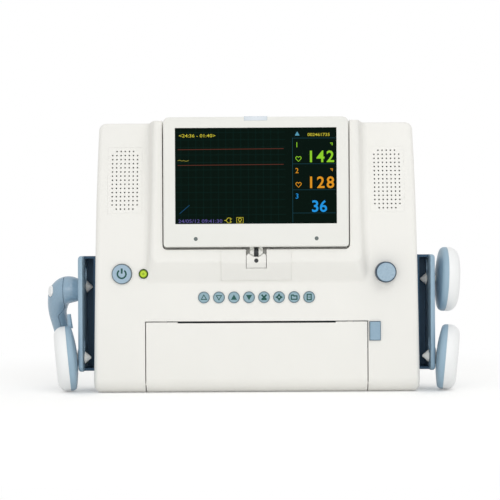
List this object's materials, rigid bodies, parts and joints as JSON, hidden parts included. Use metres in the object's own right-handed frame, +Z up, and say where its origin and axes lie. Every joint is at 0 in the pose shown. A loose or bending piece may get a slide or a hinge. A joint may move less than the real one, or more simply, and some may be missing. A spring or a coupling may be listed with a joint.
{
  "type": "fetal monitor",
  "caption": "Upright fetal monitor with a tilting screen, drop-front strip printer, dial and soft keys, and probes hung on slotted side holders.",
  "frame": {"origin": "middle of the casing's flat underside, below the middle of the screen", "axes": "+X to the viewer's right, +Y from the front to the back, +Z up"},
  "size_m": [0.4063, 0.0983, 0.2635],
  "materials": {
    "casing_white": "fine moulded texture",
    "light_blue": "satin",
    "navy": "satin",
    "key_blue": "satin",
    "steel": "satin",
    "screw_dark": "satin",
    "black_plastic": "matte",
    "board_green": "satin",
    "battery_wrap": "satin",
    "cap_grey": "satin",
    "alarm_lens": "gloss",
    "screen": "gloss",
    "lamp_green": "gloss",
    "chassis_grey": "satin",
    "head_metal": "satin",
    "platen_rubber": "matte",
    "paper_white": "matte",
    "gear_nylon": "satin",
    "hook_grey": "satin",
    "probe_white": "satin"
  },
  "bodies": {
    "casing": {"front_housing": "casing_white", "rear_housing": "casing_white", "speaker_grilles": "casing_white", "speakers": "black_plastic", "case_screws": "steel", "rear_sockets": "black_plastic", "main_board": "board_green", "battery_pack": "battery_wrap", "hinge_cover": "casing_white", "hinge_cap": "casing_white", "hinge_cap_screw": "screw_dark", "hinge_bracket": "screw_dark", "keypad_boards": "board_green", "power_lamp": "lamp_green", "jog_encoder": "black_plastic", "printer_chassis": "chassis_grey", "print_head": "head_metal", "stepper_motor": "steel", "holder_rail_left": "navy", "holder_plate_left": "light_blue", "holder_rail_right": "navy", "holder_plate_right": "light_blue"},
    "display": {"display_bezel": "casing_white", "display_back": "casing_white", "lcd_panel": "screen", "bezel_caps": "cap_grey", "alarm_lamp": "alarm_lens", "hinge_pin": "steel"},
    "door": {"printer_door": "casing_white"},
    "latch": {"latch_button": "light_blue"},
    "platen": {"platen_roller": "platen_rubber", "platen_shaft": "steel", "platen_gear": "gear_nylon"},
    "pinion": {"motor_pinion": "gear_nylon"},
    "paper": {"paper_roll": "paper_white"},
    "power": {"power_button": "light_blue"},
    "dial_shaft": {"jog_shaft": "steel"},
    "dial": {"jog_knob": "light_blue"},
    "marker": {"marker_button": "hook_grey", "marker_outer_shell": "light_blue", "marker_inner_shell": "light_blue"},
    "thumb": {"marker_thumb": "probe_white"},
    "key_body_1": {"key_1": "key_blue"},
    "key_body_2": {"key_2": "key_blue"},
    "key_body_3": {"key_3": "key_blue"},
    "key_body_4": {"key_4": "key_blue"},
    "key_body_5": {"key_5": "key_blue"},
    "key_body_6": {"key_6": "key_blue"},
    "key_body_7": {"key_7": "key_blue"},
    "key_body_8": {"key_8": "key_blue"},
    "probe_right_top": {"probe_right_top_button": "hook_grey", "probe_right_top_base": "light_blue", "probe_right_top_cover": "probe_white"},
    "probe_right_low": {"probe_right_low_button": "hook_grey", "probe_right_low_base": "light_blue", "probe_right_low_cover": "probe_white"},
    "probe_left_low": {"probe_left_low_button": "hook_grey", "probe_left_low_base": "light_blue", "probe_left_low_cover": "probe_white"}
  },
  "joints": [
    {"name": "display_tilt", "type": "hinge", "parent": "casing", "child": "display", "pos_m": [0, -0.047, 0.1346], "axis": [1, 0, 0], "range_deg": [0, 90]},
    {"name": "door_drop", "type": "hinge", "parent": "casing", "child": "door", "pos_m": [0, -0.0346, 0.009], "axis": [1, 0, 0], "range_deg": [0, 90]},
    {"name": "latch_press", "type": "slide", "parent": "casing", "child": "latch", "axis": [0, 1, 0], "range_m": [0, 0.0024], "stiffness_N_per_m": 300},
    {"name": "platen_spin", "type": "hinge", "parent": "casing", "child": "platen", "pos_m": [0, -0.0256, 0.06], "axis": [1, 0, 0], "continuous": true},
    {"name": "pinion_spin", "type": "hinge", "parent": "casing", "child": "pinion", "pos_m": [0.09, -0.01382, 0.0532], "axis": [1, 0, 0], "continuous": true},
    {"name": "paper_spin", "type": "hinge", "parent": "casing", "child": "paper", "pos_m": [0, 0.0002, 0.0276], "axis": [1, 0, 0], "continuous": true},
    {"name": "power_press", "type": "slide", "parent": "casing", "child": "power", "axis": [0, 1, 0], "range_m": [0, 0.001], "stiffness_N_per_m": 500},
    {"name": "dial_press", "type": "slide", "parent": "casing", "child": "dial_shaft", "axis": [0, 1, 0], "range_m": [0, 0.0007], "stiffness_N_per_m": 500},
    {"name": "dial_turn", "type": "hinge", "parent": "dial_shaft", "child": "dial", "pos_m": [0.1233, -0.045, 0.1153], "axis": [0, 1, 0], "continuous": true},
    {"name": "probe_right_top_lift", "type": "slide", "parent": "casing", "child": "probe_right_top", "axis": [0, 0, 1], "range_m": [0, 0.012]},
    {"name": "probe_right_low_lift", "type": "slide", "parent": "casing", "child": "probe_right_low", "axis": [0, 0, 1], "range_m": [0, 0.012]},
    {"name": "probe_left_low_lift", "type": "slide", "parent": "casing", "child": "probe_left_low", "axis": [0, 0, 1], "range_m": [0, 0.012]},
    {"name": "marker_lift", "type": "slide", "parent": "casing", "child": "marker", "axis": [0, 0, 1], "range_m": [0, 0.012]},
    {"name": "thumb_press", "type": "slide", "parent": "marker", "child": "thumb", "axis": [0.9077, 0.4155, -0.0589], "range_m": [0, 0.0015], "stiffness_N_per_m": 400},
    {"name": "key_1_press", "type": "slide", "parent": "casing", "child": "key_body_1", "axis": [0, 1, 0], "range_m": [0, 0.001], "stiffness_N_per_m": 400},
    {"name": "key_2_press", "type": "slide", "parent": "casing", "child": "key_body_2", "axis": [0, 1, 0], "range_m": [0, 0.001], "stiffness_N_per_m": 400},
    {"name": "key_3_press", "type": "slide", "parent": "casing", "child": "key_body_3", "axis": [0, 1, 0], "range_m": [0, 0.001], "stiffness_N_per_m": 400},
    {"name": "key_4_press", "type": "slide", "parent": "casing", "child": "key_body_4", "axis": [0, 1, 0], "range_m": [0, 0.001], "stiffness_N_per_m": 400},
    {"name": "key_5_press", "type": "slide", "parent": "casing", "child": "key_body_5", "axis": [0, 1, 0], "range_m": [0, 0.001], "stiffness_N_per_m": 400},
    {"name": "key_6_press", "type": "slide", "parent": "casing", "child": "key_body_6", "axis": [0, 1, 0], "range_m": [0, 0.001], "stiffness_N_per_m": 400},
    {"name": "key_7_press", "type": "slide", "parent": "casing", "child": "key_body_7", "axis": [0, 1, 0], "range_m": [0, 0.001], "stiffness_N_per_m": 400},
    {"name": "key_8_press", "type": "slide", "parent": "casing", "child": "key_body_8", "axis": [0, 1, 0], "range_m": [0, 0.001], "stiffness_N_per_m": 400}
  ],
  "couplings": [
    {"joint": "pinion_spin", "follows": "platen_spin", "ratio": -1.4286}
  ]
}
